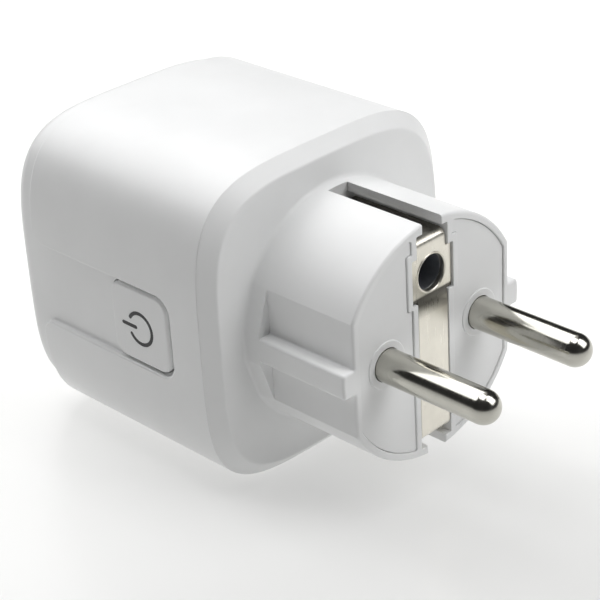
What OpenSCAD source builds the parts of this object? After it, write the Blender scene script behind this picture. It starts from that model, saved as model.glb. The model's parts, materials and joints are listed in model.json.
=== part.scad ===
// Smart plug: Schuko / French (CEE 7/7) plug at the back, Schuko socket at the front.
// Millimetres. The origin is the middle of the plug's engagement face.
// +Y runs along the plug pins into the wall, -Y towards the socket, +Z up, +X is the button side.
// Most lengths are depths: how far a face lies behind the engagement face, towards the socket.

/* [Plug] */
// Diameter of a plug pin
pin_d = 4.8; // [4.8:0.1:5]
// Length of a plug pin from the engagement face
pin_len = 19; // [18:0.5:19.5]
// Distance between the two pins
pin_pitch = 19; // [19:0.5:19.5]
// Diameter of the plug barrel
barrel_d = 36; // [35.6:0.1:36.4]
// Length of the plug barrel
barrel_len = 19; // [18.9:0.1:20]
// Distance across the barrel's side flats
flat_w = 31.6; // [31.4:0.1:32]
// Thickness of the guide rib on each flat
rib_w = 3.8; // [3:0.1:4.5]
// Height of the French earth hole above the pins
earth_hole_z = 10; // [9.8:0.1:10.2]
// Diameter of the French earth hole
earth_hole_d = 5.2; // [5:0.1:5.3]

/* [Housing] */
// Width and height of the housing
body_w = 48.3; // [48:0.1:49]
// Depth of the front plane behind the engagement face
body_depth = 62.5; // [62:0.1:64]
// Squareness of the housing outline, 2 is round
body_power = 4.1; // [3.8:0.1:4.6]
// Wall thickness of the housing
wall = 2.1; // [1.8:0.1:2.3]
// Radius of the rounded front edge
front_radius = 3; // [2.5:0.5:4]
// Depth of the sunken rim in front of the outer sleeve
front_rim = 5.2; // [4:0.1:6]
// Width of the chamfer around the rear flange
flange_chamfer = 2; // [1.5:0.1:2.2]

/* [Socket] */
// Diameter of the socket recess
well_d = 39; // [38.6:0.1:39.2]
// Depth of the socket recess
well_depth = 17.5; // [17:0.1:17.8]
// Diameter of a contact hole in the recess floor
contact_hole_d = 5.3; // [5.2:0.1:5.6]

/* [Button] */
// Width and height of the button
button_w = 11.9; // [11:0.1:12]
// Depth of the button's centre
button_depth = 33.95; // [33.5:0.05:34.2]
// Height of the recessed band that the button sits in
band_h = 13.6; // [13.4:0.1:14]
// Depth of the recessed band
band_sink = 0.9; // [0.6:0.1:1]

/* [Hidden] */
$fn = 64;

// Plug
pin_r = pin_d / 2;
pin_x = pin_pitch / 2;
pin_shoulder_r = pin_r + 0.35;
barrel_r = barrel_d / 2;
flat_x = flat_w / 2;
flat_len = barrel_len - 3;
barrel_rim = 1.1;
cavity_r = barrel_r - barrel_rim;
cavity_x = flat_x - 1;
slot_half = 1.9;
slot_end = barrel_len - 1.7;
channel_half = 3.05;
channel_z = 16.5;
strip_half = channel_half - 0.1;
strip_t = 0.8;
strip_face = 0.15;
strip_dish = 0.2;
dish_top = earth_hole_z - 2.85;
dish_foot = earth_hole_z - 5.4;
bend_r = 1.2;
strip_z = 15.5;
ear_half = 4;
ear_low = earth_hole_z - 3.5;
ear_high = earth_hole_z + 3;
hole_face = strip_face + strip_dish - 0.1;
web_face = strip_face + strip_dish + strip_t;
web_back = 3;
block_z = strip_z - 2.1;
block_end = slot_end + 1;
lug_wall = 1.05;
fit_gap = 0.15;
sleeve_r = earth_hole_d / 2 + 0.5;
sleeve_end = 16.3;
land_face = 0.25;
carrier_back = 8.5;
collar_r = 3.5;
boss_r = 3;
boss_end = 30;

// Housing
half = body_w / 2;
shell_start = barrel_len + flange_chamfer;
inner_half = half - wall;
shell_front = body_depth - 3.7;
sleeve_front = body_depth - front_rim;
rim_half = half - band_sink - 0.05;
ledge = body_depth - 2.3;
spigot_half = inner_half - 0.1;
spigot_end = shell_start + 3.4;
plate_back = shell_start + 0.5;
outline_points = 72;

// Socket
well_r = well_d / 2;
well_rim = body_depth - 0.75;
well_floor = well_rim - well_depth;
well_back = well_floor - 1.8;
well_out_r = well_r + 1.2;
well_rim_r = well_r + 2.1;
post_r = 4.2;
post_end = 37.6;
contact_r = contact_hole_d / 2;
bracket_front = well_back - 0.1;
bracket_back = bracket_front - 0.8;
shutter_front = bracket_back - 0.2;
shutter_back = shutter_front - 1.4;
retainer_back = 36.8;
block_back = 25.2;

// Boards
board_back = 22.8;
board_front = board_back + 1.6;
board_half = 20.2;
screw_at = 15.5;

// Button
band_x = half - band_sink;
button_face = half - 0.2;
button_lip = inner_half - 0.15;
plunger_tip = 19.8;
switch_x = 16.2;
switch_top = 19;

// A rounded square outline, centred, with the given half width
function outline(h) = [
  for (i = [0 : outline_points - 1])
    let (t = 360 * (i + 0.5) / outline_points, c = cos(t), s = sin(t))
    [h * sign(c) * pow(abs(c), 2 / body_power), h * sign(s) * pow(abs(s), 2 / body_power)]
];

// The same outline standing at a depth
function ring(h, depth) = [for (p = outline(h)) [p[0], -depth, p[1]]];

// Extrudes a sketch in X and Z from one depth to another
module slab(d0, d1) {
  translate([0, -d0, 0]) rotate([90, 0, 0]) linear_extrude(d1 - d0) children();
}

// Extrudes a sketch of depth and Z from one X to another
module side(x0, x1) {
  mirror([0, 1, 0]) rotate([90, 0, 90]) translate([0, 0, x0]) linear_extrude(x1 - x0) children();
}

// A round rod along Y at x, z
module rod(x, z, r, d0, d1) {
  translate([x, -d0, z]) rotate([90, 0, 0]) cylinder(r = r, h = d1 - d0);
}

// A cone along Y on the axis at x, z
module cone(x, z, r0, r1, d0, d1) {
  translate([x, -d0, z]) rotate([90, 0, 0]) cylinder(r1 = r0, r2 = r1, h = d1 - d0);
}

// A block between two corners, with depths for Y
module block(x0, x1, d0, d1, z0, z1) {
  translate([x0, -d1, z0]) cube([x1 - x0, d1 - d0, z1 - z0]);
}

// A rounded rectangle sketch
module rounded(u0, u1, v0, v1, r) {
  translate([u0 + r, v0]) square([u1 - u0 - 2 * r, v1 - v0]);
  translate([u0, v0 + r]) square([u1 - u0, v1 - v0 - 2 * r]);
  for (u = [u0 + r, u1 - r]) {
    for (v = [v0 + r, v1 - r]) {
      translate([u, v]) circle(r = r);
    }
  }
}

// A closed skin through rings with the same number of points
module loft(rings) {
  n = len(rings[0]);
  last = len(rings) - 1;
  points = [for (r = rings) for (p = r) p];
  sides = [
    for (k = [0 : last - 1]) for (i = [0 : n - 1]) let (j = (i + 1) % n)
      for (f = [[k * n + i, (k + 1) * n + i, k * n + j],
                [k * n + j, (k + 1) * n + i, (k + 1) * n + j]]) f
  ];
  start = [[for (i = [0 : n - 1]) i]];
  end = [[for (i = [n - 1 : -1 : 0]) last * n + i]];
  polyhedron(points, concat(start, sides, end), convexity = 6);
}

// A round wire swept along a list of points
module wire(path, r, sides = 8) {
  rings = [
    for (k = [0 : len(path) - 1])
      let (
        a = path[max(k - 1, 0)],
        b = path[min(k + 1, len(path) - 1)],
        t = (b - a) / norm(b - a),
        u = cross(t, [0, 1, 0]) / norm(cross(t, [0, 1, 0])),
        v = cross(t, u)
      )
      [for (i = [0 : sides - 1]) path[k] + r * (cos(360 * i / sides) * u - sin(360 * i / sides) * v)]
  ];
  loft(rings);
}

// Sketch of the barrel with its side flats and guide ribs
module barrel_outline() {
  difference() {
    circle(r = barrel_r);
    for (sx = [-1, 1]) {
      for (sz = [-1, 1]) {
        translate([sx * (flat_x + 2.5), sz * (rib_w / 2 + 5)]) square([5, 10], center = true);
      }
    }
  }
}

// Sketch of the space inside the barrel, shrunk by a gap
module cavity(gap = 0) {
  intersection() {
    circle(r = cavity_r - gap);
    square([2 * (cavity_x - gap), 40], center = true);
  }
}

// Sketch of the band between the two face windows, grown by a gap
module middle_band(gap = 0) {
  square([2 * (channel_half + lug_wall + gap), 40], center = true);
  translate([-ear_half - lug_wall - gap, ear_low - 0.6 - gap])
    square([2 * (ear_half + lug_wall + gap), ear_high - ear_low + 1.8 + 2 * gap]);
}

// Sketch of the two blocks that hold the earth channels
module channel_blocks(gap = 0) {
  for (s = [-1, 1]) {
    translate([0, s * (block_z + 5 - gap)])
      square([2 * (channel_half + lug_wall + gap), 10], center = true);
  }
}

module rear_cover() {
  color("whitesmoke") difference() {
    union() {
      slab(0, flat_len) barrel_outline();
      slab(flat_len, barrel_len + 1) circle(r = barrel_r);
      loft([
        ring(half - flange_chamfer, barrel_len),
        ring(half, shell_start - 0.02),
        ring(half, shell_start)
      ]);
      slab(shell_start, plate_back) polygon(outline(spigot_half));
      slab(shell_start, spigot_end) difference() {
        polygon(outline(spigot_half));
        polygon(outline(spigot_half - 1.3));
      }
      for (x = [-1, 1]) {
        for (z = [-1, 1]) {
          rod(x * screw_at, z * screw_at, 2.4, shell_start, board_back);
        }
      }
    }
    slab(-1, web_back + 0.1) difference() {
      cavity();
      middle_band();
    }
    slab(web_back, block_end + 0.1) difference() {
      cavity();
      channel_blocks();
    }
    slab(block_end, 30) cavity();
    for (s = [-1, 1]) {
      slab(-1, slot_end) translate([0, s * (channel_z + strip_z - 0.9) / 2])
        square([2 * channel_half, channel_z - strip_z + 0.9], center = true);
      slab(-1, slot_end) translate([0, s * (channel_z + 1.9)])
        square([2 * slot_half, 4], center = true);
    }
    slab(-1, strip_face + strip_t) square([2 * channel_half, 2 * channel_z], center = true);
    slab(-1, web_face) translate([-channel_half, dish_foot])
      square([2 * channel_half, channel_z - dish_foot]);
    slab(-1, web_face) translate([-ear_half - 0.3, ear_low - 0.2])
      square([2 * ear_half + 0.6, ear_high - ear_low + 0.6]);
    rod(0, earth_hole_z, sleeve_r + 0.05, 0, 5);
    for (x = [-1, 1]) {
      for (z = [-1, 1]) {
        rod(x * screw_at, z * screw_at, 0.9, shell_start + 0.2, 30);
      }
    }
  }
}

module pin_carrier() {
  color("gainsboro") difference() {
    union() {
      slab(land_face, web_back + 0.2) difference() {
        cavity(fit_gap);
        middle_band(fit_gap);
      }
      slab(web_back + 0.1, carrier_back) difference() {
        cavity(fit_gap + 0.05);
        channel_blocks(0.5);
      }
      for (s = [-1, 1]) {
        rod(s * pin_x, 0, collar_r, 0.05, land_face + 0.5);
      }
      rod(0, 0, boss_r, carrier_back - 0.5, boss_end);
      slab(carrier_back - 0.5, 13) square([1.2, 2 * 6], center = true);
    }
    for (s = [-1, 1]) {
      rod(s * pin_x, 0, pin_shoulder_r, -1, 30);
    }
    rod(0, earth_hole_z, sleeve_r + 0.1, -1, 15);
    rod(0, 0, 1.4, 18, 40);
  }
}

// One plug pin with its shoulder, shank and rivet head
module pin(s) {
  color("silver") {
    translate([s * pin_x, pin_len - pin_r, 0]) sphere(r = pin_r);
    rod(s * pin_x, 0, pin_r, pin_r - pin_len, 1);
    rod(s * pin_x, 0, pin_shoulder_r, 0, carrier_back);
    rod(s * pin_x, 0, 2.2, carrier_back - 0.5, 10.6);
    rod(s * pin_x, 0, 1.6, 10, 12);
    rod(s * pin_x, 0, 2.3, 11.4, 12.2);
  }
}

module line_pin() {
  pin(-1);
}

module neutral_pin() {
  pin(1);
}

// Side view of the bent earth strip, at depth and Z, dished where its hole is
module strip_profile() {
  u = strip_face + strip_dish;
  l = strip_face;
  end = slot_end - 0.5;
  arc = [0 : 15 : 90];
  outside = concat(
    [[end, strip_z]],
    [for (a = arc) [u + bend_r * (1 - sin(a)), strip_z - bend_r * (1 - cos(a))]],
    [[u, dish_top], [l, dish_foot]],
    [for (a = arc) [l + bend_r * (1 - cos(a)), bend_r * (1 - sin(a)) - strip_z]],
    [[end, -strip_z]]
  );
  inside = [
    [end, strip_t - strip_z], [l + strip_t, strip_t - strip_z],
    [l + strip_t, dish_foot], [u + strip_t, dish_top],
    [u + strip_t, strip_z - strip_t], [end, strip_z - strip_t]
  ];
  polygon(concat(outside, inside));
}

module plug_earth_strip() {
  color("lightsteelblue") difference() {
    union() {
      side(-strip_half, strip_half) strip_profile();
      slab(strip_face + strip_dish, web_face) translate([-ear_half, ear_low])
        square([2 * ear_half, ear_high - ear_low]);
      rod(0, earth_hole_z, earth_hole_d / 2 + 0.35, hole_face, web_face);
    }
    rod(0, earth_hole_z, earth_hole_d / 2 + 0.1, -1, 5);
  }
}

module earth_pin_sleeve() {
  color("goldenrod") {
    difference() {
      rod(0, earth_hole_z, sleeve_r, web_face, sleeve_end);
      rod(0, earth_hole_z, earth_hole_d / 2, 0, sleeve_end - 0.6);
    }
    rod(0, earth_hole_z, 1.2, sleeve_end - 0.3, sleeve_end + 1.3);
  }
}

module earth_link() {
  color("goldenrod") {
    difference() {
      block(-2, 2, sleeve_end, sleeve_end + 0.8, 7.6, 12.9);
      rod(0, earth_hole_z, 1.2, 10, 30);
    }
    block(-2, 2, sleeve_end, bracket_back, 12.1, 12.9);
  }
}

// One strip from a pin's rivet to the main board
module busbar(s) {
  color("peru") difference() {
    union() {
      block(min(s * 7.2, s * 13.2), max(s * 7.2, s * 13.2), 10.6, 11.4, -2, 2);
      block(min(s * 12.4, s * 13.2), max(s * 12.4, s * 13.2), 10.6, board_back, -2, 2);
    }
    rod(s * pin_x, 0, 1.6, 5, 15);
  }
}

module line_busbar() {
  busbar(-1);
}

module neutral_busbar() {
  busbar(1);
}

module housing_shell() {
  steps = 6;
  fillet = [
    for (k = [0 : steps]) let (a = 90 * k / steps)
      ring(rim_half - front_radius * (1 - cos(a)), body_depth - front_radius * (1 - sin(a)))
  ];
  color("white") difference() {
    loft(concat([ring(half, shell_start), ring(half, sleeve_front), ring(rim_half, sleeve_front)], fillet));
    slab(shell_start - 1, shell_front) polygon(outline(inner_half));
    rod(0, 0, well_out_r + fit_gap, shell_front - 1, 70);
    rod(0, 0, well_rim_r + 0.1, ledge, 70);
    side(band_x, half + 5) rounded(27.3, body_depth + 10, -band_h / 2, band_h / 2, 2.6);
    side(inner_half - 3, half + 5)
      rounded(button_depth - button_w / 2 - fit_gap, button_depth + button_w / 2 + fit_gap,
        -button_w / 2 - fit_gap, button_w / 2 + fit_gap, 2.4);
  }
}

module socket_well() {
  color("white") {
    difference() {
      union() {
        rod(0, 0, well_out_r, well_back, well_rim);
        rod(0, 0, well_rim_r, ledge, well_rim);
        rod(0, 0, post_r, post_end, well_back + 0.5);
      }
      rod(0, 0, well_r, well_floor, 70);
      cone(0, 0, well_r, well_r + 0.6, well_rim - 0.6, well_rim + 0.001);
      for (s = [-1, 1]) {
        rod(s * pin_x, 0, contact_r, 30, 50);
        cone(s * pin_x, 0, contact_r, contact_r + 0.7, well_floor - 0.7, well_floor + 0.001);
        block(-2.3, 2.3, well_back - 1, well_floor + 1, s * 17.6 - 1.4, s * 17.6 + 1.4);
        block(-2.6, 2.6, well_floor, 58, s * 19.5 - 0.7, s * 19.5 + 0.7);
      }
      rod(0, 0, 3.2, well_back - 0.2, 50);
      rod(0, 0, 1.7, 30, 50);
    }
    slab(well_floor - 0.5, well_rim - 2.4) intersection() {
      circle(r = well_r + 0.4);
      for (s = [-1, 1]) {
        for (t = [-1, 1]) {
          translate([s * 18.8, t * 5.75]) square([5, 6.3], center = true);
        }
      }
    }
  }
}

module socket_earth_bracket() {
  color("lightsteelblue") {
    slab(bracket_back, bracket_front) difference() {
      union() {
        square([6, 36.8], center = true);
        circle(r = 6.6);
      }
      circle(r = post_r + 0.2);
    }
    for (s = [0, 1]) {
      mirror([0, 0, s]) side(-1.7, 1.7) polygon([
        [bracket_back, 18.4], [47.2, 18.3], [54.6, 16.2], [58.2, 17.6],
        [58.6, 16.9], [54.5, 15.3], [46.9, 17.5], [bracket_back, 17.6]
      ]);
    }
  }
}

module shutter() {
  color("whitesmoke") {
    difference() {
      slab(shutter_back, shutter_front) difference() {
        union() {
          circle(r = 6.2);
          square([2 * pin_x, 3.4], center = true);
          for (s = [-1, 1]) {
            translate([s * pin_x, 0]) circle(r = 2.95);
          }
        }
        circle(r = post_r + 0.08);
      }
      for (a = [0, 180]) {
        rotate([0, a, 0]) translate([pin_x, -shutter_front, 2.6])
          rotate([-28, 0, 0]) cube([6, 1.6, 4.4], center = true);
      }
    }
    block(5.1, 6.1, shutter_back - 0.9, shutter_back + 0.2, 1.2, 2.4);
  }
}

module shutter_spring() {
  turns = 2;
  coil_r = 5.1;
  pitch = 0.6;
  steps = 24;
  first = shutter_back - 0.45;
  coil = [
    for (k = [0 : turns * steps]) let (a = 360 * k / steps)
      [coil_r * cos(a), -(first - pitch * k / steps), -coil_r * sin(a)]
  ];
  tail = [for (k = [1 : 4]) [coil_r, -(first - pitch * turns), -k]];
  color("silver") wire(concat(coil, tail), 0.28);
}

module shutter_retainer() {
  color("gainsboro") slab(retainer_back, retainer_back + 0.9) difference() {
    rounded(-14.6, 14.6, -7, 7, 2);
    circle(r = post_r + 0.2);
    for (s = [-1, 1]) {
      translate([s * pin_x, 0]) circle(r = 2.9);
    }
  }
}

module contact_block() {
  color("dimgray") difference() {
    slab(block_back, retainer_back) rounded(-13.6, 13.6, -6.4, 6.4, 1.5);
    for (s = [-1, 1]) {
      slab(block_back - 1, retainer_back - 1)
        translate([s * pin_x, 0]) square([7, 9.6], center = true);
      rod(s * pin_x, 0, 2.9, 20, 40);
    }
    rod(0, 0, 3.5, 20, 40);
  }
}

// One folded brass contact that grips a mating pin
module socket_contact(s) {
  color("goldenrod") {
    slab(26.5, 35.4) translate([s * pin_x, 0.2]) difference() {
      square([5.8, 7.6], center = true);
      translate([0, -0.6]) square([4.6, 7.6], center = true);
    }
    block(s * pin_x - 1.2, s * pin_x + 1.2, board_front, 27, 3.4, 4);
  }
}

module live_socket_contact() {
  socket_contact(-1);
}

module neutral_socket_contact() {
  socket_contact(1);
}

module main_board() {
  color("darkgreen") slab(board_back, board_front) difference() {
    polygon(outline(board_half));
    circle(r = boss_r + 0.3);
    translate([-2.4, 11.6]) square([4.8, 1.8]);
    for (x = [-1, 1]) {
      for (z = [-1, 1]) {
        translate([x * screw_at, z * screw_at]) circle(r = 1.1);
      }
    }
  }
}

module board_screws() {
  color("silver") for (x = [-1, 1]) {
    for (z = [-1, 1]) {
      difference() {
        union() {
          rod(x * screw_at, z * screw_at, 0.9, shell_start + 0.4, board_front + 0.5);
          rod(x * screw_at, z * screw_at, 2, board_front, board_front + 1.5);
        }
        slab(board_front + 0.7, 30) translate([x * screw_at, z * screw_at]) {
          square([2.4, 0.5], center = true);
          square([0.5, 2.4], center = true);
        }
      }
    }
  }
}

module relay() {
  color("royalblue") {
    block(-9.2, 9.2, board_front + 0.4, 39.6, -18.4, -8.2);
    for (x = [-7, 5, 7]) {
      block(x - 0.6, x + 0.6, board_front, board_front + 1, -14, -12.6);
    }
  }
}

module wifi_board() {
  color("navy") block(-9, 9, board_front, 40, 18.6, 19.6);
}

module wifi_shield() {
  color("silver") difference() {
    block(-6.4, 6.4, 27, 37.8, 16.5, 18.6);
    block(-6.2, 6.2, 27.2, 37.6, 16.7, 19);
  }
}

module power_inductor() {
  color("black") translate([0, -board_back, -8.9]) rotate([-90, 0, 0]) rotate_extrude()
    polygon([[0, 0], [4.1, 0], [4.1, 1.2], [3.3, 1.5], [3.3, 7.9], [4.1, 8.2], [4.1, 9.4], [0, 9.4]]);
}

module bulk_capacitors() {
  color("darkslateblue") for (s = [-1, 1]) {
    rod(s * 9.2, 11.5, 4, board_front + 0.3, 36.4);
    for (t = [-1, 1]) {
      rod(s * 9.2 + t * 1.7, 11.5, 0.3, board_front, board_front + 1);
    }
  }
}

module fuse_resistor() {
  color("seagreen") {
    translate([-8, -17.5, -12.4]) cylinder(r = 2, h = 8.2);
    translate([-8, -17.5, -13.2]) cylinder(r = 0.35, h = 9.8);
    for (z = [-12.85, -3.75]) {
      rod(-8, z, 0.35, 17.2, board_back);
    }
  }
}

module varistor() {
  color("steelblue") {
    side(6.4, 10) translate([17.3, -7.7]) circle(r = 4.9);
    for (s = [-1, 1]) {
      rod(8.2, -7.7 + s * 2.4, 0.4, 20, board_back);
    }
  }
}

module x_capacitor() {
  color("khaki") {
    block(-11, -5.6, 13.2, board_back - 0.3, 2.8, 11.3);
    for (z = [4.2, 9.9]) {
      rod(-8.3, z, 0.4, 20, board_back);
    }
  }
}

module metering_chip() {
  color("black") block(-16.3, -11.3, board_front + 0.1, board_front + 1.7, -11.4, -6.6);
  color("silver") for (z = [-10.8, -9.6, -8.4, -7.2]) {
    for (x = [-16.9, -10.7]) {
      block(x - 0.6, x + 0.6, board_front, board_front + 0.5, z - 0.2, z + 0.2);
    }
  }
}

module bridge_rectifier() {
  color("black") block(-19.2, -14.6, board_front + 0.1, board_front + 2.5, -3.2, 3.2);
  color("silver") for (z = [-2.2, 2.2]) {
    for (x = [-19.2, -14.6]) {
      block(x - 0.5, x + 0.5, board_front, board_front + 0.6, z - 0.4, z + 0.4);
    }
  }
}

module current_shunt() {
  color("peru") {
    block(5.6, 10.8, 19.2, 20.2, 6, 9);
    block(5.6, 6.6, 19.2, board_back, 6, 9);
    block(9.8, 10.8, 19.2, board_back, 6, 9);
  }
}

// Sketch of the round arc and bar of a power sign, at depth and Z
module power_sign() {
  translate([button_depth, 0]) {
    difference() {
      circle(r = 2.7);
      circle(r = 2);
      polygon([[0, 0], [4, -2.6], [4, 2.6]]);
    }
    translate([0.7, -0.35]) square([3.2, 0.7]);
  }
}

module button() {
  b0 = button_depth - button_w / 2;
  b1 = button_depth + button_w / 2;
  color("white") {
    difference() {
      union() {
        side(button_lip - 1, button_face) rounded(b0, b1, -button_w / 2, button_w / 2, 2.25);
        side(button_lip - 1, button_lip)
          rounded(b0 - 0.7, b1 + 0.7, -button_w / 2 - 0.7, button_w / 2 + 0.7, 2.6);
      }
      side(button_lip - 2, button_face - 1.3)
        rounded(b0 + 1.2, b1 - 1.2, 1.2 - button_w / 2, button_w / 2 - 1.2, 1.5);
      side(button_face - 0.3, half + 1) power_sign();
    }
    side(plunger_tip, button_face - 1.2) translate([button_depth, 0]) circle(r = 1.6);
  }
}

module power_symbol() {
  color("black") side(button_face - 0.3, button_face + 0.04) power_sign();
}

module button_board() {
  color("darkgreen") block(switch_x - 1.2, switch_x, board_front, 41.4, -7.5, 7.5);
}

module tact_switch() {
  color("dimgray") difference() {
    side(switch_x, switch_top) translate([button_depth, 0]) square(6, center = true);
    side(17.4, 20) translate([button_depth, 0]) circle(r = 1.85);
  }
}

module tact_plunger() {
  color("black") side(17.95, plunger_tip) translate([button_depth, 0]) circle(r = 1.75);
}

module status_led() {
  color("lightcyan") side(switch_x, switch_x + 1) translate([39.2, 3.6]) square([1.8, 3], center = true);
}

module board_header() {
  color("black") block(switch_x, switch_x + 2.2, board_front, board_front + 2.2, -5, 5);
  color("gold") for (z = [-3.8 : 2.54 : 3.9]) {
    block(switch_x + 0.8, switch_x + 1.4, board_front + 2, board_front + 4.2, z - 0.3, z + 0.3);
  }
}

module centre_screw() {
  color("silver") difference() {
    union() {
      rod(0, 0, 1.4, 20, well_back);
      rod(0, 0, 3, well_back - 0.2, well_floor - 0.3);
    }
    slab(well_floor - 1.3, well_floor + 1) circle(r = 1.7, $fn = 3);
  }
}

housing_shell();
socket_well();
socket_earth_bracket();
shutter();
shutter_spring();
shutter_retainer();
contact_block();
live_socket_contact();
neutral_socket_contact();
rear_cover();
pin_carrier();
line_pin();
neutral_pin();
plug_earth_strip();
earth_pin_sleeve();
earth_link();
line_busbar();
neutral_busbar();
main_board();
relay();
wifi_board();
wifi_shield();
power_inductor();
bulk_capacitors();
fuse_resistor();
varistor();
x_capacitor();
metering_chip();
bridge_rectifier();
current_shunt();
button();
power_symbol();
button_board();
tact_switch();
tact_plunger();
status_led();
board_header();
centre_screw();
board_screws();
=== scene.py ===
import json
import math

import bmesh
import bpy
from mathutils import Matrix, Vector


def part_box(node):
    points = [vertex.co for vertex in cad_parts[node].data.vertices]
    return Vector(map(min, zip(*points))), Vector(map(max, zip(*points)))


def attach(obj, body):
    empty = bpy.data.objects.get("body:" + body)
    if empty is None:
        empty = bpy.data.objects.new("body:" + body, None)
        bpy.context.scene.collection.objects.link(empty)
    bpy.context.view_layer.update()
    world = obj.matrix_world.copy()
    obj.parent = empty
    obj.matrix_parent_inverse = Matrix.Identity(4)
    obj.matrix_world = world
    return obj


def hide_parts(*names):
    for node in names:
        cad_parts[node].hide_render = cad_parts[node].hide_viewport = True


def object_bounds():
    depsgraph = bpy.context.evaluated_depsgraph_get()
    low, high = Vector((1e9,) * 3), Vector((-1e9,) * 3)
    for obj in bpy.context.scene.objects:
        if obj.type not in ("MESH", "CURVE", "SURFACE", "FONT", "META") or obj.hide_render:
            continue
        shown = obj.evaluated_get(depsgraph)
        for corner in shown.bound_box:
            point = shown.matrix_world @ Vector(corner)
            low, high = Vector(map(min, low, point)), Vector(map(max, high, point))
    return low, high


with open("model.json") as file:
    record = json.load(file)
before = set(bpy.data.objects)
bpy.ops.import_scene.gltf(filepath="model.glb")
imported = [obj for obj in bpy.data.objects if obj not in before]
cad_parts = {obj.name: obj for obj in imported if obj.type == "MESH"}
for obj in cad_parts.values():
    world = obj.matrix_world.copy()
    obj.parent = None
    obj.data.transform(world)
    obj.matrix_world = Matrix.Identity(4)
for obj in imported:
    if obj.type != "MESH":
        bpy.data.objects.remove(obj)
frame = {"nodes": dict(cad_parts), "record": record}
CAD_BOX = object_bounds()

# The frame is in metres. Pieces are built in millimetres and scaled as they are made.
# A depth is how far a point lies behind the engagement face, so it is -y.
MM = 0.001
MICRON = 0.001


def box(node):
    """Lowest and highest corner of a CAD node, in millimetres."""
    low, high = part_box(node)
    return low / MM, high / MM


# Sizes read from the frame
HALF = CAD_BOX[1].x / MM
FRONT = -CAD_BOX[0].y / MM
FLOOR_Z = CAD_BOX[0].z
PIN_LENGTH = CAD_BOX[1].y / MM
PIN_X = (box("neutral_pin")[0].x + box("neutral_pin")[1].x) / 2
SHELL_BACK = -box("housing_shell")[1].y
STRIP_HALF_Z = box("plug_earth_strip")[1].z
STRIP_END = -box("plug_earth_strip")[0].y
EAR_HALF = box("plug_earth_strip")[1].x
RIM_R = box("socket_well")[1].x
WELL_FRONT = -box("socket_well")[0].y
POST_END = -box("socket_well")[1].y
HOLE_Z = (box("earth_pin_sleeve")[0].z + box("earth_pin_sleeve")[1].z) / 2
BUTTON_FACE = box("button")[1].x
BUTTON_LIP = box("button")[0].x
SIGN_DEPTH = -(box("tact_plunger")[0].y + box("tact_plunger")[1].y) / 2
COVER_END = -box("rear_cover")[0].y
CARRIER_END = -box("pin_carrier")[0].y

# Plug
BARREL_R = 18
BARREL_LENGTH = 19
FLAT_X = 15.8
FLAT_END = 16
RIB_HALF = 1.9
CAVITY_R = 16.9
CAVITY_X = 14.8
BAND_X = 4.1
EAR_BAND_X = 5.05
EAR_LOW = 6.5
EAR_HIGH = 13
CHANNEL_X = 3.05
CHANNEL_Z = 16.5
CHANNEL_FOOT = 14.6
MOUTH_X = 1.9
MOUTH_FOOT = 15.5
SLOT_END = 17.3
BLOCK_Z = 13.4
WEB_DEPTH = 3
CARRIER_BACK = 8.5
LAND_DEPTH = 0.25
COLLAR_R = 3.5
PIN_R = 2.4
SHOULDER_R = 2.75
EARTH_HOLE_R = 2.6
SLEEVE_R = 3.1
STRIP_X = 2.95
STRIP_FACE = 0.15
STRIP_THICK = 0.8
DISH = 0.2
DISH_TOP = 7.15
DISH_FOOT = 4.6

# Housing
SQUARENESS = 4.1
CHAMFER = 2
FRONT_FILLET = 3
SLEEVE_FRONT = FRONT - 5.2
RIM_HALF = HALF - 0.95
WALL = 2.1
SHELL_FRONT = FRONT - 3.7
LEDGE = FRONT - 2.3
INNER_HALF = HALF - WALL
SPIGOT_HALF = INNER_HALF - 0.1
SCREW_AT = 15.5
BAND_FLOOR = HALF - 0.9
BAND_BACK = 27.3
BAND_HALF = 6.35
BAND_FLARE = 2.8
BAND_CORNER = 2.6
STEP_EDGE = 0.45
BUTTON_HALF = 5.95
BUTTON_CORNER = 2.25
BUTTON_GAP = 0.22

# Socket
WELL_R = 19.5
WELL_OUT_R = 20.7
WELL_FLOOR = 44.25
WELL_BACK = 42.45
CONTACT_R = 2.65
POST_R = 4.2

# Edge radii
SOFT = 0.45
CRISP = 0.08

# Where cutters end: a depth before the plug's face and one well inside the housing
AHEAD = -1
DEEP = 30

# Points of a full circle, of the housing outline and of a quarter turn
ROUND = 144
OUTLINE_POINTS = 240
EASE_STEPS = 5


# ---- outlines: lists of (u, v) in a flat sketch ----

def arc(centre, radius, start, end, steps):
    """Points on a circle from one angle to another, in degrees."""
    angles = [math.radians(start + (end - start) * k / steps) for k in range(steps + 1)]
    return [(centre[0] + radius * math.cos(a), centre[1] + radius * math.sin(a)) for a in angles]


def eased(corners, steps=EASE_STEPS):
    """Rounds each corner (u, v, radius) of a closed outline."""
    points = []
    for i, (u, v, radius) in enumerate(corners):
        here = Vector((u, v))
        if radius == 0:
            points.append((u, v))
            continue
        back = (Vector(corners[i - 1][:2]) - here).normalized()
        ahead = (Vector(corners[(i + 1) % len(corners)][:2]) - here).normalized()
        half_angle = back.angle(ahead) / 2
        reach = radius / math.tan(half_angle)
        centre = here + (back + ahead).normalized() * radius / math.sin(half_angle)
        first = here + back * reach - centre
        last = here + ahead * reach - centre
        start = math.degrees(math.atan2(first.y, first.x))
        turn = math.degrees(math.atan2(first.cross(last), first.dot(last)))
        points += arc(centre, radius, start, start + turn, steps)
    return points


def rounded(u0, u1, v0, v1, radius, steps=8):
    """A rectangle with round corners."""
    return eased([(u0, v0, radius), (u1, v0, radius), (u1, v1, radius), (u0, v1, radius)], steps)


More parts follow.
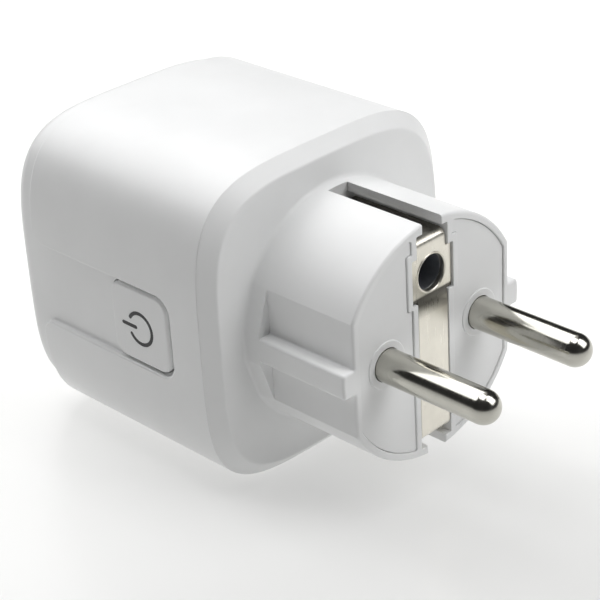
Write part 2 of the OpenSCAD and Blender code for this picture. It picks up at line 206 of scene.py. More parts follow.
def grown(outline, gap):
    """The outline with every side moved outwards by gap."""
    count = len(outline)
    points = [Vector(p) for p in outline]
    area = sum(points[i - 1].cross(points[i]) for i in range(count))
    side = 1 if area > 0 else -1
    moved = []
    for i, here in enumerate(points):
        d0 = (here - points[i - 1]).normalized()
        d1 = (points[(i + 1) % count] - here).normalized()
        n0 = Vector((d0.y, -d0.x)) * side
        n1 = Vector((d1.y, -d1.x)) * side
        moved.append(tuple(here + (n0 + n1) * gap / (1 + n0.dot(n1))))
    return moved


def mirrored(outline):
    """The outline reflected across its v axis."""
    return [(-u, v) for u, v in reversed(outline)]


def flipped(outline, side):
    """The outline, or its reflection across its u axis when side is -1."""
    return [(u, side * v) for u, v in outline]


# ---- meshes ----

def along_y(depth, u, v):
    """Puts a point of a sketch seen along the pins at a depth."""
    return (u, -depth, v)


def along_x(x, u, v):
    """Puts a point (depth, z) of a sketch seen from the button's side at an x."""
    return (x, -u, v)


def make(name, points, faces):
    """A closed mesh object from points in millimetres, with its normals outwards."""
    mesh = bpy.data.meshes.new(name)
    mesh.from_pydata([Vector(p) * MM for p in points], [], faces)
    work = bmesh.new()
    work.from_mesh(mesh)
    bmesh.ops.remove_doubles(work, verts=work.verts, dist=MICRON * MM)
    bmesh.ops.dissolve_degenerate(work, edges=work.edges, dist=MICRON * MM)
    bmesh.ops.recalc_face_normals(work, faces=work.faces)
    if work.calc_volume(signed=True) < 0:
        bmesh.ops.reverse_faces(work, faces=work.faces)
    work.to_mesh(mesh)
    work.free()
    piece = bpy.data.objects.new(name, mesh)
    bpy.context.scene.collection.objects.link(piece)
    return piece


def skin(name, rings):
    """A closed solid through rings that have the same number of points."""
    count = len(rings[0])
    points = [p for ring in rings for p in ring]
    faces = [tuple(range(count)), tuple((len(rings) - 1) * count + i for i in range(count))]
    for k in range(len(rings) - 1):
        for i in range(count):
            j = (i + 1) % count
            faces.append((k * count + i, k * count + j, (k + 1) * count + j, (k + 1) * count + i))
    return make(name, points, faces)


def prism(name, outline, stations, along=along_y):
    """A solid with one outline, grown by a gap at each station (position, gap)."""
    rings = []
    for position, gap in stations:
        rings.append([along(position, u, v) for u, v in grown(outline, gap)])
    return skin(name, rings)


def lathe(name, profile, x=0, z=0, count=ROUND):
    """A solid of revolution along Y through (depth, radius) points."""
    rings = []
    for depth, radius in profile:
        circle = arc((x, z), max(radius, MICRON), 0, 360, count)[:-1]
        rings.append([along_y(depth, u, v) for u, v in circle])
    return skin(name, rings)


def rod(name, radius, start, end, x=0, z=0, count=ROUND):
    """A round boss, or the cutter of a round hole, along Y."""
    return lathe(name, [(start, radius), (end, radius)], x, z, count)


def rise(position, radius, way=1, sign=-1, steps=EASE_STEPS):
    """Stations of a rounded edge that starts at position and runs way.

    The sign is -1 for a solid and 1 for a cutter."""
    stations = []
    for k in range(steps + 1):
        a = math.radians(90 * k / steps)
        gap = sign * radius * (1 - math.sin(a))
        stations.append((position + way * radius * (1 - math.cos(a)), gap))
    return stations


def slab(start, end, start_radius=0, end_radius=0):
    """Stations of a solid from start to end, with rounded ends."""
    way = 1 if end > start else -1
    first = rise(start, start_radius, way) if start_radius else [(start, 0)]
    last = rise(end, end_radius, -way)[::-1] if end_radius else [(end, 0)]
    return first + last


def pocket(face, end, rim, clear=1.0):
    """Stations of a cutter that opens at a face, with a rounded rim and a square floor."""
    way = 1 if end > face else -1
    lead = [(face - way * clear, rim)]
    return lead + rise(face, rim, way, 1) + [(end, 0)]


def carve(piece, *cutters, operation="DIFFERENCE"):
    """Applies boolean cutters to a piece and deletes them."""
    for cutter in cutters:
        cut = piece.modifiers.new("cut", "BOOLEAN")
        cut.operation = operation
        cut.solver = "EXACT"
        cut.object = cutter
        bpy.context.view_layer.update()
        ready = piece.evaluated_get(bpy.context.evaluated_depsgraph_get())
        mesh = bpy.data.meshes.new_from_object(ready)
        piece.modifiers.clear()
        piece.data = mesh
        bpy.data.objects.remove(cutter)
    return piece


def join(piece, *others):
    """Unites solids that overlap."""
    return carve(piece, *others, operation="UNION")


def finish(piece, sharp=27):
    """Merges stray points, marks sharp edges and gives flat faces true normals."""
    work = bmesh.new()
    work.from_mesh(piece.data)
    bmesh.ops.remove_doubles(work, verts=work.verts, dist=2 * MICRON * MM)
    bmesh.ops.dissolve_degenerate(work, edges=work.edges, dist=2 * MICRON * MM)
    work.to_mesh(piece.data)
    work.free()
    piece.data.shade_smooth()
    piece.data.set_sharp_from_angle(angle=math.radians(sharp))
    weight = piece.modifiers.new("true_normals", "WEIGHTED_NORMAL")
    weight.keep_sharp = True
    return piece


# ---- materials ----

def shader(name, **sockets):
    """A new material whose Principled shader has these socket values."""
    paint = bpy.data.materials.new(name)
    paint.use_nodes = True
    principled = paint.node_tree.nodes["Principled BSDF"]
    for socket, value in sockets.items():
        principled.inputs[socket.replace("_", " ")].default_value = value
    return paint


def add(paint, kind, **settings):
    """A node with some of its properties set."""
    node = paint.node_tree.nodes.new(kind)
    for key, value in settings.items():
        setattr(node, key, value)
    return node


def noise(paint, scale, detail=3, stretch=(1, 1, 1)):
    """Noise over the piece's own coordinates; scale is in waves per millimetre."""
    where = add(paint, "ShaderNodeTexCoord")
    mapping = add(paint, "ShaderNodeMapping")
    mapping.inputs["Scale"].default_value = [s / MM for s in stretch]
    texture = add(paint, "ShaderNodeTexNoise")
    texture.inputs["Scale"].default_value = scale
    texture.inputs["Detail"].default_value = detail
    links = paint.node_tree.links
    links.new(where.outputs["Object"], mapping.inputs["Vector"])
    links.new(mapping.outputs["Vector"], texture.inputs["Vector"])
    return texture.outputs["Fac"]


def ramp(paint, value, low, high, start=0.3, end=0.7):
    """A colour that runs from low to high as the value runs from start to end."""
    node = add(paint, "ShaderNodeValToRGB")
    node.color_ramp.elements[0].position = start
    node.color_ramp.elements[1].position = end
    node.color_ramp.elements[0].color = (*low, 1)
    node.color_ramp.elements[1].color = (*high, 1)
    paint.node_tree.links.new(value, node.inputs["Fac"])
    return node.outputs["Color"]


def spread(paint, value, low, high):
    """A number that runs from low to high as noise runs over its usual range."""
    node = add(paint, "ShaderNodeMapRange")
    node.inputs["From Min"].default_value = 0.3
    node.inputs["From Max"].default_value = 0.7
    node.inputs["To Min"].default_value = low
    node.inputs["To Max"].default_value = high
    paint.node_tree.links.new(value, node.inputs["Value"])
    return node.outputs["Result"]


def bump(paint, value, height):
    """Surface relief with a height in millimetres."""
    node = add(paint, "ShaderNodeBump")
    node.inputs["Distance"].default_value = height * MM
    node.inputs["Strength"].default_value = 1
    paint.node_tree.links.new(value, node.inputs["Height"])
    return node.outputs["Normal"]


def connect(paint, socket, output):
    """Links an output to a socket of the Principled shader."""
    paint.node_tree.links.new(output, paint.node_tree.nodes["Principled BSDF"].inputs[socket])


def shade(colour, factor):
    """The colour made darker or lighter."""
    return tuple(min(1, c * factor) for c in colour)


def moulded(name, colour, roughness, grain=3.2, relief=0.0012, mottle=0.02, **sockets):
    """Moulded plastic: faint flow mottling, a fine spark-eroded grain and uneven gloss."""
    paint = shader(name, IOR=1.5, **sockets)
    flow = noise(paint, 0.09, 4)
    connect(paint, "Base Color", ramp(paint, flow, shade(colour, 1 - mottle), shade(colour, 1 + mottle)))
    connect(paint, "Roughness", spread(paint, noise(paint, 0.6, 5), roughness - 0.04, roughness + 0.05))
    connect(paint, "Normal", bump(paint, noise(paint, grain, 2), relief))
    return paint


def metal(name, colour, roughness, stretch=(1, 1, 1), relief=0.0006, grain=4, tarnish=0.08):
    """Plated or bare metal with drawing or turning marks and a little tarnish."""
    paint = shader(name, Metallic=1.0)
    stain = noise(paint, 0.35, 6)
    connect(paint, "Base Color", ramp(paint, stain, shade(colour, 1 - tarnish), colour))
    lines = noise(paint, grain, 4, stretch)
    connect(paint, "Roughness", spread(paint, lines, roughness - 0.04, roughness + 0.06))
    connect(paint, "Normal", bump(paint, lines, relief))
    return paint


def graded(paint, stops):
    """Multiplies a material's colour by a grey that follows the height, to paint shade by height; stops are
    (z, grey), upwards.
    """
    low = stops[0][0]
    high = stops[-1][0]
    where = add(paint, "ShaderNodeTexCoord")
    split = add(paint, "ShaderNodeSeparateXYZ")
    span = add(paint, "ShaderNodeMapRange")
    span.inputs["From Min"].default_value = low * MM
    span.inputs["From Max"].default_value = high * MM
    greys = add(paint, "ShaderNodeValToRGB")
    elements = greys.color_ramp.elements
    elements[0].color = (*[stops[0][1]] * 3, 1)
    elements[1].color = (*[stops[-1][1]] * 3, 1)
    for z, grey in stops[1:-1]:
        elements.new((z - low) / (high - low)).color = (*[grey] * 3, 1)
    product = add(paint, "ShaderNodeMix", data_type="RGBA", blend_type="MULTIPLY")
    product.inputs[0].default_value = 1
    plain = paint.node_tree.nodes["Principled BSDF"].inputs["Base Color"].links[0].from_socket
    links = paint.node_tree.links
    links.new(where.outputs["Object"], split.inputs["Vector"])
    links.new(split.outputs["Z"], span.inputs["Value"])
    links.new(span.outputs["Result"], greys.inputs["Fac"])
    links.new(plain, product.inputs[6])
    links.new(greys.outputs["Color"], product.inputs[7])
    connect(paint, "Base Color", product.outputs[2])
    return paint


# Painted shade on the earth strip: a painted dark reflection in a band below the hole, and painted shade in
# the slot at the top
STRIP_PAINTED_SHADE_STOPS = [
    (3.9, 1), (5.0, 0.62), (5.9, 0.22), (6.95, 0.14), (7.2, 0.9), (7.5, 1),
    (15.25, 1), (15.45, 0.3),
]
NICKEL = (0.555, 0.545, 0.495)
NICKEL_STRIP = (0.78, 0.75, 0.67)
WHITE = (0.83, 0.835, 0.835)
BLACK = (0.012, 0.012, 0.014)
PAINT = {
    "white_shell": moulded("satin_white_shell", WHITE, 0.36),
    "white_barrel": moulded("satin_white_barrel", WHITE, 0.38),
    "white_insert": moulded("white_insert_plastic", shade(WHITE, 0.99), 0.42),
    "white_button": moulded("white_button_plastic", shade(WHITE, 0.98), 0.34),
    "symbol_black": moulded("symbol_print", BLACK, 0.45, mottle=0.2),
    "nickel": metal("polished_nickel", NICKEL, 0.15, (0.05, 1, 0.05), relief=0.0003),
    # The earth strip's colour is darkened by height: painted dark reflection below the hole, painted shade
    # in the top slot
    "nickel_strip": graded(metal("brushed_nickel_strip_painted_shade", NICKEL_STRIP, 0.3, (1, 1, 0.06)), STRIP_PAINTED_SHADE_STOPS),
    "brass": metal("brass", (0.78, 0.57, 0.26), 0.28, (1, 0.08, 1)),
    "copper": metal("tinned_copper", (0.80, 0.45, 0.28), 0.3, (1, 0.08, 1)),
    "spring_steel": metal("spring_steel", (0.55, 0.55, 0.56), 0.25),
    "screw_steel": metal("zinc_screw", (0.62, 0.63, 0.64), 0.3),
    "black_plastic": moulded("black_component", (0.02, 0.02, 0.022), 0.45, mottle=0.15),
    "board_green": moulded("green_solder_mask", (0.012, 0.11, 0.04), 0.3, mottle=0.25),
    "board_blue": moulded("blue_solder_mask", (0.01, 0.04, 0.17), 0.3, mottle=0.25),
    "relay_blue": moulded("relay_blue", (0.02, 0.12, 0.48), 0.4, mottle=0.05),
    "shield_tin": metal("tinned_shield", (0.74, 0.74, 0.73), 0.32, (1, 0.1, 1)),
    "ferrite": moulded("ferrite_grey", (0.03, 0.03, 0.032), 0.6, relief=0.006, mottle=0.3),
    "can_sleeve": moulded("capacitor_sleeve", (0.015, 0.02, 0.08), 0.28, mottle=0.1),
    "fuse_green": moulded("resistor_coat", (0.05, 0.22, 0.12), 0.35, relief=0.004, mottle=0.15),
    "varistor_blue": moulded("varistor_epoxy", (0.02, 0.12, 0.38), 0.3, relief=0.004, mottle=0.15),
    "film_yellow": moulded("film_capacitor_case", (0.72, 0.55, 0.08), 0.35, mottle=0.05),
    "led_clear": moulded("led_lens", (0.75, 0.80, 0.85), 0.15, Transmission_Weight=0.4),
}


# ---- housing ----

def squareness(angle):
    """Radius of the rounded-square outline of half width 1 at an angle."""
    c = abs(math.cos(angle)) ** SQUARENESS
    s = abs(math.sin(angle)) ** SQUARENESS
    return (c + s) ** (-1 / SQUARENESS)


ANGLES = [2 * math.pi * i / OUTLINE_POINTS for i in range(OUTLINE_POINTS)]
OUTLINE = [(squareness(a) * math.cos(a), squareness(a) * math.sin(a)) for a in ANGLES]


def square_ring(half, depth):
    """The housing outline with a half width, at a depth."""
    return [along_y(depth, half * u, half * v) for u, v in OUTLINE]


def front_depth(angle, radius):
    """Depth of the housing's front surface at a distance from the socket's axis."""
    inset = RIM_HALF - radius / squareness(angle)
    if inset >= FRONT_FILLET:
        return FRONT
    return FRONT - FRONT_FILLET + math.sqrt(FRONT_FILLET ** 2 - (FRONT_FILLET - inset) ** 2)


def round_ring(radius, depth):
    """A circle round the socket's axis, with as many points as the housing outline."""
    return [along_y(depth, radius * math.cos(a), radius * math.sin(a)) for a in ANGLES]


def rolled_front(half, front, radius, steps):
    """Rings of the housing outline round a rounded front edge."""
    rings = []
    for k in range(steps + 1):
        a = math.radians(90 * k / steps)
        inset = radius * (1 - math.cos(a))
        drop = radius * (1 - math.sin(a))
        rings.append(square_ring(half - inset, front - drop))
    return rings


def front_ring(radius, drop):
    """A circle round the socket that follows the front surface, a little behind it."""
    ring = []
    for a in ANGLES:
        depth = front_depth(a, radius) - drop
        ring.append(along_y(depth, radius * math.cos(a), radius * math.sin(a)))
    return ring


def housing_body():
    """The closed form of the housing: an outer sleeve, and a sunken rim in front of it."""
    seam = 0.12
    rings = [
        square_ring(HALF - seam, SHELL_BACK), square_ring(HALF - seam + 0.06, SHELL_BACK + 0.03),
        square_ring(HALF, SHELL_BACK + seam),
    ]
    rings += rolled_front(HALF, SLEEVE_FRONT, STEP_EDGE, EASE_STEPS)
    rings.append(square_ring(RIM_HALF, SLEEVE_FRONT))
    rings += rolled_front(RIM_HALF, FRONT, FRONT_FILLET, 14)
    return skin("housing_shell_skin", rings)


def socket_seat():
    """The cutter of the opening that holds the socket's cup and its rim."""
    throat_r = WELL_OUT_R + 0.15
    seat_r = RIM_R + 0.1
    edge = 0.25
    rings = [
        round_ring(throat_r, SHELL_FRONT - 1), round_ring(throat_r, LEDGE), round_ring(seat_r, LEDGE),
    ]
    for back, out in reversed(rise(0, edge, 1, 1)):
        rings.append(front_ring(seat_r + out, back))
    rings.append(round_ring(seat_r + edge, FRONT + 1))
    return skin("seat", rings)


def side_band():
    """The cutter of the sunken band that runs from the button to the front and flares out there."""
    mouth = SLEEVE_FRONT - 0.02
    wide = BAND_HALF + 6
    ahead = FRONT + 10
    outline = eased([
        (BAND_BACK, -BAND_HALF, BAND_CORNER), (mouth, -BAND_HALF, BAND_FLARE), (mouth, -wide, 0),
        (ahead, -wide, 0), (ahead, wide, 0), (mouth, wide, 0),
        (mouth, BAND_HALF, BAND_FLARE), (BAND_BACK, BAND_HALF, BAND_CORNER),
    ], 12)
    foot = 0.35
    stations = pocket(HALF + 0.01, BAND_FLOOR, STEP_EDGE)[:-1] + rise(BAND_FLOOR, foot)[::-1]
    return prism("band", outline, stations, along_x)


def button_opening():
    """The cutter of the button's window in the floor of the band."""
    reach = BUTTON_HALF + BUTTON_GAP
    back, front = SIGN_DEPTH - reach, SIGN_DEPTH + reach
    outline = rounded(back, front, -reach, reach, BUTTON_CORNER + BUTTON_GAP, 10)
    return prism("window", outline, pocket(BAND_FLOOR, INNER_HALF - 3, 0.12), along_x)


def housing_shell():
    """The rounded square cover."""
    cavity = [square_ring(INNER_HALF, depth) for depth in (SHELL_BACK - 1, SHELL_FRONT)]
    cutters = [skin("cavity", cavity), socket_seat(), side_band(), button_opening()]
    return finish(carve(housing_body(), *cutters))


# ---- plug ----

def circle_height(x, radius):
    """Height of a circle at an x."""
    return math.sqrt(radius ** 2 - x ** 2)


def circle_arc(radius, x0, x1, upper=True, step=2.5):
    """Arc of a circle round the barrel's axis, from x0 to x1, without its two ends."""
    side = 1 if upper else -1
    start = math.degrees(math.atan2(side * circle_height(x0, radius), x0))
    end = math.degrees(math.atan2(side * circle_height(x1, radius), x1))
    steps = max(2, round(abs(end - start) / step))
    return [(u, v, 0) for u, v in arc((0, 0), radius, start, end, steps)[1:-1]]


def barrel_outline():
    """The barrel with a flat on each side and a guide rib on each flat."""
    edge_z = circle_height(FLAT_X, BARREL_R)
    rib_x = circle_height(RIB_HALF, BARREL_R)
    root = 0.25
    crest = 0.5
    corners = []
    for side, upper in ((1, True), (-1, False)):
        corners += [
            (side * FLAT_X, -side * RIB_HALF, root), (side * rib_x, -side * RIB_HALF, crest),
            (side * BARREL_R, 0, 0),
            (side * rib_x, side * RIB_HALF, crest), (side * FLAT_X, side * RIB_HALF, root),
            (side * FLAT_X, side * edge_z, 0),
        ]
        corners += circle_arc(BARREL_R, side * FLAT_X, -side * FLAT_X, upper)
        corners.append((-side * FLAT_X, side * edge_z, 0))
    return eased(corners)


def barrel():
    """The plug barrel: flats and ribs up to FLAT_END, then round, with a fillet at the flange."""
    outline = barrel_outline()
    rings = []
    for depth, gap in slab(0, FLAT_END, SOFT):
        rings.append([along_y(depth, u, v) for u, v in grown(outline, gap)])
    circle = [Vector(p).normalized() * BARREL_R for p in outline]
    foot = 0.6
    rings.append([along_y(FLAT_END, *p) for p in circle])
    for depth, gap in reversed(rise(BARREL_LENGTH, foot, -1, 1)):
        rings.append([along_y(depth, *(p * (1 + gap / BARREL_R))) for p in circle])
    buried = BARREL_LENGTH + 0.5
    rings.append([along_y(buried, *(p * (1 + foot / BARREL_R))) for p in circle])
    return skin("barrel", rings)


def window_outline(side):
    """One D-shaped window of the engagement face."""
    ear_top = EAR_HIGH + 1.2
    ear_foot = EAR_LOW - 0.6
    corner = 0.5
    tip = 0.4
    notch = 0.3
    notch_root = 0.15
    arc_z = circle_height(BAND_X, CAVITY_R)
    side_z = circle_height(CAVITY_X, CAVITY_R)
    corners = [(BAND_X, -arc_z, tip)]
    corners += circle_arc(CAVITY_R, BAND_X, CAVITY_X, False)
    corners += [(CAVITY_X, -side_z, corner), (CAVITY_X, side_z, corner)]
    corners += circle_arc(CAVITY_R, CAVITY_X, BAND_X, True)
    corners += [
        (BAND_X, arc_z, tip), (BAND_X, ear_top, notch_root), (EAR_BAND_X, ear_top, notch),
        (EAR_BAND_X, ear_foot, notch), (BAND_X, ear_foot, notch_root),
    ]
    outline = eased(corners, 3)
    return outline if side > 0 else mirrored(outline)


def cavity_outline():
    """The space inside the barrel, with a block above and below for the earth channels."""
    arc_z = circle_height(BAND_X, CAVITY_R)
    side_z = circle_height(CAVITY_X, CAVITY_R)
    corners = []
    for side in (1, -1):
        corners += [(side * BAND_X, side * BLOCK_Z, 0), (side * BAND_X, side * arc_z, 0)]
        corners += circle_arc(CAVITY_R, side * BAND_X, side * CAVITY_X, side > 0)
        corners += [(side * CAVITY_X, side * side_z, 0), (side * CAVITY_X, -side * side_z, 0)]
        corners += circle_arc(CAVITY_R, side * CAVITY_X, side * BAND_X, side < 0)
        corners += [(side * BAND_X, -side * arc_z, 0), (side * BAND_X, -side * BLOCK_Z, 0)]
    return eased(corners)


def core_outline():
    """The space inside the barrel behind its blocks."""
    side_z = circle_height(CAVITY_X, CAVITY_R)
    corners = [(CAVITY_X, -side_z, 0), (CAVITY_X, side_z, 0)]
    corners += circle_arc(CAVITY_R, CAVITY_X, -CAVITY_X, True)
    corners += [(-CAVITY_X, side_z, 0), (-CAVITY_X, -side_z, 0)]
    corners += circle_arc(CAVITY_R, -CAVITY_X, CAVITY_X, False)
    return eased(corners)


def flange():
    """The flange with its chamfer, and the hollow spigot that fits inside the housing."""
    buried = HALF - 8
    chamfer_edge = 0.6
    spigot_wall = 1.3
    profile = eased([
        (buried, BARREL_LENGTH + 1, 0), (buried, BARREL_LENGTH, 0),
        (HALF - CHAMFER, BARREL_LENGTH, chamfer_edge), (HALF - 0.1, SHELL_BACK - 0.1, 0),
        (HALF - 0.03, SHELL_BACK - 0.05, 0), (HALF - 0.1, SHELL_BACK, 0),
    ])
    rings = [square_ring(half, depth) for half, depth in profile[1:]]
    rings += [square_ring(SPIGOT_HALF, SHELL_BACK), square_ring(SPIGOT_HALF - 0.3, COVER_END)]
    hollow = [square_ring(SPIGOT_HALF - spigot_wall, depth) for depth in (SHELL_BACK + 0.5, DEEP)]
    return carve(skin("rear_cover_skin", rings), skin("hollow", hollow))


def strip_bed():
    """Cutters of the bed that holds the earth strip, its dished part and its ears."""
    floor_depth = STRIP_FACE + STRIP_THICK
    corner = 0.2
    inset = 0.02
    ear_gap = 0.12
    side_gap = 0.08
    bed = rounded(-CHANNEL_X, CHANNEL_X + side_gap, -CHANNEL_Z, CHANNEL_Z, corner, 3)
    high_bed = rounded(inset - CHANNEL_X, CHANNEL_X - inset, DISH_FOOT, CHANNEL_Z - inset, corner, 3)
    ears = rounded(-EAR_HALF - ear_gap, EAR_HALF + ear_gap, EAR_LOW - 0.15, EAR_HIGH + 0.2, corner, 3)
    return [
        prism("bed", bed, pocket(0, floor_depth, CRISP)),
        prism("high_bed", high_bed, slab(0.5, floor_depth + DISH)),
        prism("ears", ears, pocket(0, floor_depth + DISH + inset, CRISP)),
    ]


def rear_cover():
    """The flange and the barrel, with the face windows, the earth channels and the screw bosses."""
    cover = join(flange(), barrel())
    boss_r = 2.4
    boss_hole_r = 0.9
    boss_foot = SHELL_BACK + 0.2
    boss_end = SHELL_BACK + 1.8
    for x in (-SCREW_AT, SCREW_AT):
        for z in (-SCREW_AT, SCREW_AT):
            join(cover, rod("boss", boss_r, boss_foot, boss_end, x, z, 32))
            carve(cover, rod("boss_hole", boss_hole_r, boss_foot, DEEP, x, z, 24))
    rim = 0.18
    for side in (1, -1):
        carve(cover, prism("window", window_outline(side), pocket(0, WEB_DEPTH + 0.1, rim)))
    # Each cutter is a hair wider than the one before it, so that their walls don't coincide
    carve(cover, prism("cavity", grown(cavity_outline(), 0.03), slab(WEB_DEPTH, SLOT_END + 1.1)))
    carve(cover, prism("core", grown(core_outline(), 0.06), slab(SLOT_END + 1, DEEP)))
    for side in (1, -1):
        mouth = flipped(rounded(-MOUTH_X, MOUTH_X, MOUTH_FOOT, BARREL_R + 3, 0.2, 3), side)
        channel = flipped(rounded(-CHANNEL_X, CHANNEL_X, CHANNEL_FOOT, CHANNEL_Z, 0.15, 3), side)
        carve(cover, prism("mouth", mouth, pocket(0, SLOT_END, rim)))
        carve(cover, prism("channel", channel, slab(AHEAD, SLOT_END)))
    carve(cover, *strip_bed())
    carve(cover, rod("sleeve_hole", SLEEVE_R + 0.05, 0.5, 5, 0, HOLE_Z, 48))
    return finish(cover)


def pin_carrier():
    """The insert behind the face windows: two lands, a collar round each pin and the screw post."""
    outline = grown(cavity_outline(), -0.25)
    carrier = prism("pin_carrier_body", outline, slab(WEB_DEPTH + 0.1, CARRIER_BACK))
    collar = [(d, COLLAR_R + g) for d, g in slab(0.05, LAND_DEPTH + 0.3, 0.15)]
    for side in (1, -1):
        land = grown(window_outline(side), -0.06)
        join(carrier, prism("land", land, slab(LAND_DEPTH, WEB_DEPTH + 0.2, CRISP)))
        join(carrier, lathe("collar", collar, side * PIN_X, 0, 72))
    root = CARRIER_BACK - 0.5
    post_r = 3
    gusset_end = 13
    gusset = [(-0.6, -6), (0.6, -6), (0.6, 6), (-0.6, 6)]
    join(carrier, rod("post", post_r, root, CARRIER_END, count=48))
    join(carrier, prism("gusset", gusset, slab(root, gusset_end)))
    step = 0.45
    mouth_r = PIN_R + 0.1
    bore_r = SHOULDER_R + 0.01
    hole = [(AHEAD, mouth_r), (step, mouth_r), (step, bore_r), (DEEP, bore_r)]
    for side in (1, -1):
        carve(carrier, lathe("pin_hole", hole, side * PIN_X, 0, 72))
    carve(carrier, rod("sleeve_hole", SLEEVE_R + 0.1, AHEAD, 15, 0, HOLE_Z, 48))
    carve(carrier, rod("screw_hole", 1.4, 18, 40, count=32))
    return finish(carrier)


def pin(name, x):
    """A turned pin with a round tip, a shoulder inside the carrier and a grooved tail."""
    steps = 18
    tip = []
    for k in range(steps + 1):
        a = math.radians(90 * k / steps)
        tip.append((PIN_R - PIN_LENGTH - PIN_R * math.cos(a), PIN_R * math.sin(a)))
    step = 0.5
    tail_r = 2.2
    groove_r = 1.6
    head_r = 2.3
    groove_start, groove_end = 10.6, 11.4
    shoulder = [(step, PIN_R), (step, SHOULDER_R), (CARRIER_BACK, SHOULDER_R)]
    tail = [(CARRIER_BACK, tail_r), (groove_start, tail_r), (groove_start, groove_r)]
    tail += [(groove_end, groove_r), (groove_end, head_r), (11.9, head_r), (12.2, 1.9)]
    return finish(lathe(name, tip + shoulder + tail, x, 0, 96))


def dish_climb(t, lead=0.15):
    """How far the strip's slope has run at t: steep after a short lead, then easing out."""
    climb = t * t / (2 * lead) if t < lead else t - lead / 2
    return climb - max(0, t - lead) ** 2 / (2 * (1 - lead))


def strip_section():
    """The strip's side view as (depth, z): rolled ends, the dished part above and a flush part below."""
    bend = 1.2
    bend_steps = 8
    dish_steps = 16
    inner = STRIP_THICK + 0.4
    low = STRIP_FACE
    high = STRIP_FACE + DISH
    top = STRIP_HALF_Z - bend
    outside = [(STRIP_END, STRIP_HALF_Z)]
    outside += [(high + bend + u, top + v) for u, v in arc((0, 0), bend, 90, 180, bend_steps)]
    for k in range(dish_steps + 1):
        t = k / dish_steps
        outside.append((high - 2 * DISH * dish_climb(t), DISH_TOP + (DISH_FOOT - DISH_TOP) * t))
    outside += [(low + bend + u, v - top) for u, v in arc((0, 0), bend, 180, 270, bend_steps)]
    outside.append((STRIP_END, -STRIP_HALF_Z))
    inside = [
        (STRIP_END, STRIP_THICK - STRIP_HALF_Z), (low + bend, STRIP_THICK - STRIP_HALF_Z),
        (low + STRIP_THICK, inner - STRIP_HALF_Z), (low + STRIP_THICK, DISH_FOOT),
        (high + STRIP_THICK, DISH_TOP), (high + STRIP_THICK, STRIP_HALF_Z - inner),
        (high + bend, STRIP_HALF_Z - STRIP_THICK), (STRIP_END, STRIP_HALF_Z - STRIP_THICK),
    ]
    return outside + inside


def plug_earth_strip():
    """The bent earth strip with its ears and the rolled lip round its hole."""
    high = STRIP_FACE + DISH
    hair = 0.001
    lip_face = high - 0.1
    sides = slab(-STRIP_X, STRIP_X, CRISP, CRISP)
    strip = prism("plug_earth_strip_sheet", strip_section(), sides, along_x)
    ears = rounded(-EAR_HALF, EAR_HALF, EAR_LOW, EAR_HIGH, 0.2, 3)
    join(strip, prism("ears", ears, slab(high + hair, high + STRIP_THICK - hair, CRISP)))
    lip = [(d, EARTH_HOLE_R + 0.35 + g) for d, g in slab(lip_face, high + 0.4, 0.09)]
    join(strip, lathe("lip", lip, 0, HOLE_Z, 72))
    hole = [(d, EARTH_HOLE_R + 0.02 + g) for d, g in pocket(lip_face, 5, 0.22)]
    carve(strip, lathe("hole", hole, 0, HOLE_Z, 72))
    return finish(strip)


# ---- socket ----

def socket_cup():
    """The cup with its rim, its post and its bore."""
    rim = 0.3
    floor_fillet = 0.6
    mouth = 0.6
    outer = [(WELL_BACK, WELL_OUT_R - 0.3), (WELL_BACK + 0.3, WELL_OUT_R), (LEDGE, WELL_OUT_R)]
    outer += [(LEDGE, RIM_R)] + [(d, RIM_R + g) for d, g in rise(WELL_FRONT, rim, -1)[::-1]]
    well = lathe("socket_well_cup", outer)
    join(well, rod("post", POST_R, POST_END, WELL_BACK + 0.5, count=64))
    wide = WELL_R + mouth + 0.1
    bore = [(d, WELL_R + g) for d, g in rise(WELL_FLOOR, floor_fillet, 1)]
    bore += [(WELL_FRONT - mouth, WELL_R), (WELL_FRONT - 0.1, WELL_R + mouth - 0.1)]
    bore += [(WELL_FRONT + 0.05, wide), (FRONT + 5, wide)]
    return carve(well, lathe("bore", bore))


def guide_ridge(sx, sz):
    """One of the four guide ridges, trimmed to the cup's wall."""
    crest_x = 16.3
    low_z, high_z = 2.6, 8.9
    front = WELL_FRONT - 2.4
    outline = [(sx * u, sz * v) for u, v in rounded(crest_x, 21, low_z, high_z, 0.5, 4)]
    block = prism("ridge", outline, slab(WELL_FLOOR - 0.5, front, 0, 0.4))
    keep = rod("keep", WELL_R + 0.4, WELL_FLOOR - 1, FRONT)
    return carve(block, keep, operation="INTERSECT")


def socket_well():
    """The socket's cup with guide ridges, contact holes, earth clip slots and the screw's seat."""
    well = socket_cup()
    for sx in (1, -1):
        for sz in (1, -1):
            join(well, guide_ridge(sx, sz))
    slot_half = 2.3
    relief_half = 2.6
    relief_end = 58
    edge = 0.7
    hole = [
        (DEEP, CONTACT_R), (WELL_FLOOR - edge, CONTACT_R), (WELL_FLOOR, CONTACT_R + edge),
        (WELL_FLOOR + 1, CONTACT_R + 1.7),
    ]
    for side in (1, -1):
        carve(well, lathe("contact_hole", hole, side * PIN_X, 0, 64))
        slot = flipped(rounded(-slot_half, slot_half, 16.2, 19, 0.4, 4), side)
        relief = flipped(rounded(-relief_half, relief_half, 18.8, 20.2, 0.3, 4), side)
        carve(well, prism("clip_slot", slot, slab(WELL_BACK - 1, WELL_FLOOR + 1)))
        carve(well, prism("clip_relief", relief, slab(WELL_FLOOR, relief_end)))
    head_r = 3.2
    seat = [(d, head_r + g) for d, g in pocket(WELL_FLOOR, WELL_BACK - 0.2, 0.25)]
    carve(well, lathe("head_hole", seat, count=64))
    carve(well, rod("screw_hole", 1.7, DEEP, 50, count=32))
    return finish(well)


# ---- button ----

# Ring radii, half of the gap's angle, the bar's ends in front of the centre, its half width, height
SIGN_RING = (2.16, 2.7)
SIGN_GAP = 33
SIGN_BAR = (0.7, 3.9)
SIGN_BAR_HALF = 0.28
SIGN_Z = -0.3


